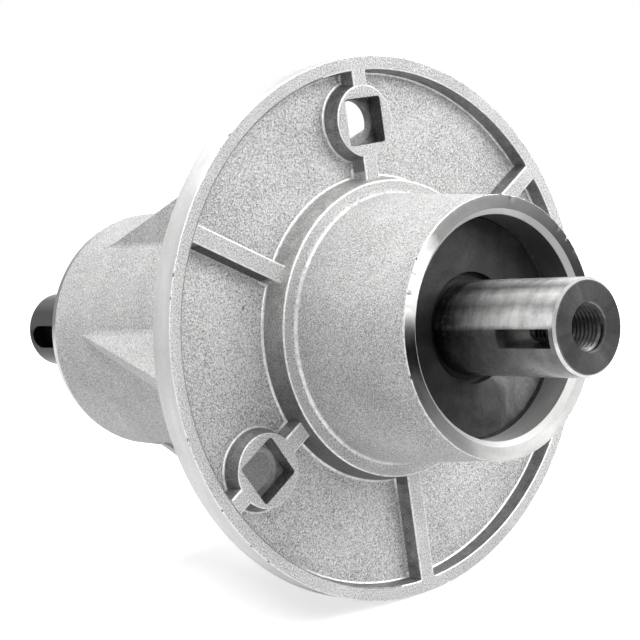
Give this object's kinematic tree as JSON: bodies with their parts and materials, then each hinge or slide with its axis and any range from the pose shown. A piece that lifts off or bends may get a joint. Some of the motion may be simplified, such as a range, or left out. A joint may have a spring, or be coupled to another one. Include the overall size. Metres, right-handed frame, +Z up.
{
  "type": "mower blade spindle assembly",
  "caption": "Mower blade spindle: ribbed cast-aluminium flanged housing with gussets, carrying a keyed and tapped steel shaft that spins in two sealed ball bearings.",
  "frame": {"origin": "centre of the flange's mating face, on the shaft's axis", "axes": "the shaft runs along Y with the blade end towards -Y and the pulley end towards +Y; +Z is up through the first bolt boss"},
  "size_m": [0.12, 0.1987, 0.12],
  "materials": {
    "cast_aluminium": "shot-blasted casting with machined faces",
    "shaft_steel": "turned and ground",
    "bearing_steel": "ground",
    "ball_steel": "polished",
    "cage_plastic": "moulded",
    "seal_rubber": "matt",
    "shield_steel": "dull, blotchy",
    "spacer_steel": "drawn tube",
    "spring_steel": "hardened strip"
  },
  "bodies": {
    "housing": {"spindle_housing": "cast_aluminium", "blade_end_dust_shield": "shield_steel", "pulley_end_dust_shield": "shield_steel", "blade_bearing_outer_ring": "bearing_steel", "blade_bearing_outer_seal": "seal_rubber", "blade_bearing_inner_seal": "seal_rubber", "pulley_bearing_outer_ring": "bearing_steel", "pulley_bearing_outer_seal": "seal_rubber", "pulley_bearing_inner_seal": "seal_rubber"},
    "shaft": {"spindle_shaft": "shaft_steel", "bearing_spacer_tube": "spacer_steel", "blade_bearing_inner_ring": "bearing_steel", "pulley_bearing_inner_ring": "bearing_steel", "blade_end_retaining_ring": "spring_steel", "pulley_end_retaining_ring": "spring_steel"},
    "blade_ball_set": {"blade_bearing_cage": "cage_plastic", "blade_bearing_balls": "ball_steel"},
    "pulley_ball_set": {"pulley_bearing_cage": "cage_plastic", "pulley_bearing_balls": "ball_steel"}
  },
  "joints": [
    {"name": "shaft_spin", "type": "hinge", "parent": "housing", "child": "shaft", "pos_m": [0, 0, 0], "axis": [0, 1, 0], "continuous": true},
    {"name": "blade_ball_orbit", "type": "hinge", "parent": "housing", "child": "blade_ball_set", "pos_m": [0, -0.0155, 0], "axis": [0, 1, 0], "continuous": true},
    {"name": "pulley_ball_orbit", "type": "hinge", "parent": "housing", "child": "pulley_ball_set", "pos_m": [0, 0.0784, 0], "axis": [0, 1, 0], "continuous": true}
  ],
  "couplings": [
    {"joint": "blade_ball_orbit", "follows": "shaft_spin", "ratio": 0.3815},
    {"joint": "pulley_ball_orbit", "follows": "shaft_spin", "ratio": 0.3815}
  ]
}
